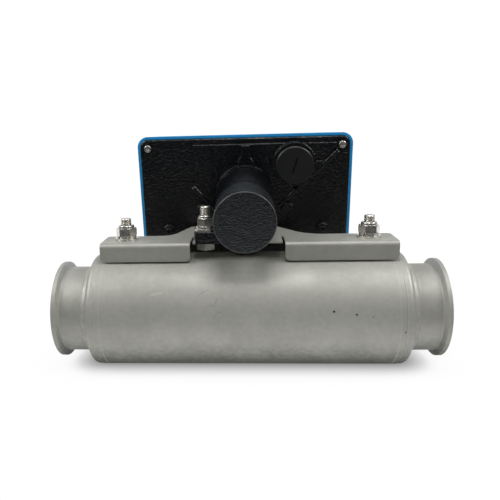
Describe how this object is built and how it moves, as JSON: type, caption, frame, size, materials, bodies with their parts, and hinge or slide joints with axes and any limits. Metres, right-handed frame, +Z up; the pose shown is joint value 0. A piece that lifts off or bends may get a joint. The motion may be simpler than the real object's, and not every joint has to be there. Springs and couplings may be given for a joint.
{
  "type": "electromagnetic flow meter",
  "caption": "In-line electromagnetic flow meter with clamp ferrules, a stainless body and a transmitter head on a side neck.",
  "frame": {"origin": "on the pipe axis, half way between the two ferrule faces", "axes": "+X along the pipe from the inlet to the outlet, +Z up through the bracket studs, -Y towards the neck cap"},
  "size_m": [0.355, 0.1886, 0.215],
  "materials": {
    "blasted_stainless": "bead blasted, satin",
    "sheet_stainless": "bead blasted, satin",
    "polished_stainless": "bright turned",
    "plain_steel": "plain",
    "winding": "enamelled copper wire",
    "liner_plastic": "moulded",
    "black_paint": "hammered, half gloss",
    "blue_paint": "smooth, half gloss",
    "black_plastic": "moulded",
    "grey_plastic": "moulded",
    "seal_rubber": "matt",
    "clear_pane": "clear",
    "screen": "display",
    "board_laminate": "solder resist",
    "component": "moulded"
  },
  "bodies": {
    "meter": {"measuring_tube": "blasted_stainless", "liner": "liner_plastic", "inlet_ferrule": "blasted_stainless", "outlet_ferrule": "blasted_stainless", "body_shell": "blasted_stainless", "inlet_end_cap": "blasted_stainless", "outlet_end_cap": "blasted_stainless", "upper_pole_shoe": "plain_steel", "lower_pole_shoe": "plain_steel", "upper_coil": "winding", "lower_coil": "winding", "return_yoke": "plain_steel", "front_electrode": "polished_stainless", "rear_electrode": "polished_stainless", "grounding_electrode": "polished_stainless", "electrode_bushes": "liner_plastic", "electrode_nuts": "polished_stainless", "electrode_leads": "grey_plastic", "bracket": "sheet_stainless", "stud_bosses": "blasted_stainless", "bracket_studs": "polished_stainless", "flat_washers": "polished_stainless", "spring_washers": "polished_stainless", "locknuts": "polished_stainless", "foot_bolt": "polished_stainless", "foot_washer": "polished_stainless", "foot_spring_washer": "polished_stainless", "foot_nut": "polished_stainless", "conduit_nipple": "black_paint", "conduit_nut": "black_paint", "rear_housing": "black_paint", "neck_cap": "black_paint", "neck_seal": "seal_rubber", "service_plug": "black_plastic", "front_housing": "blue_paint", "housing_gasket": "seal_rubber", "cover_screws": "polished_stainless", "boss_screws": "black_paint", "display_window": "clear_pane", "keypad_bezel": "black_plastic", "display_board": "board_laminate", "key_switches": "component", "display_screen": "screen", "main_board": "board_laminate", "board_components": "component", "board_screws": "polished_stainless", "gland_bodies": "black_plastic", "gland_nuts": "black_plastic", "gland_seals": "seal_rubber", "entry_plug": "black_plastic", "terminal_block": "component", "terminal_screws": "polished_stainless", "sensor_loom": "grey_plastic"},
    "key_1": {"button_1": "grey_plastic"},
    "key_2": {"button_2": "grey_plastic"},
    "key_3": {"button_3": "grey_plastic"},
    "key_4": {"button_4": "grey_plastic"}
  },
  "joints": [
    {"name": "key_1_press", "type": "slide", "parent": "meter", "child": "key_1", "axis": [0, -0.9954, -0.0958], "range_m": [0, 0.0015], "stiffness_N_per_m": 400, "springref_m": -0.001},
    {"name": "key_2_press", "type": "slide", "parent": "meter", "child": "key_2", "axis": [0, -0.9954, -0.0958], "range_m": [0, 0.0015], "stiffness_N_per_m": 400, "springref_m": -0.001},
    {"name": "key_3_press", "type": "slide", "parent": "meter", "child": "key_3", "axis": [0, -0.9954, -0.0958], "range_m": [0, 0.0015], "stiffness_N_per_m": 400, "springref_m": -0.001},
    {"name": "key_4_press", "type": "slide", "parent": "meter", "child": "key_4", "axis": [0, -0.9954, -0.0958], "range_m": [0, 0.0015], "stiffness_N_per_m": 400, "springref_m": -0.001}
  ]
}
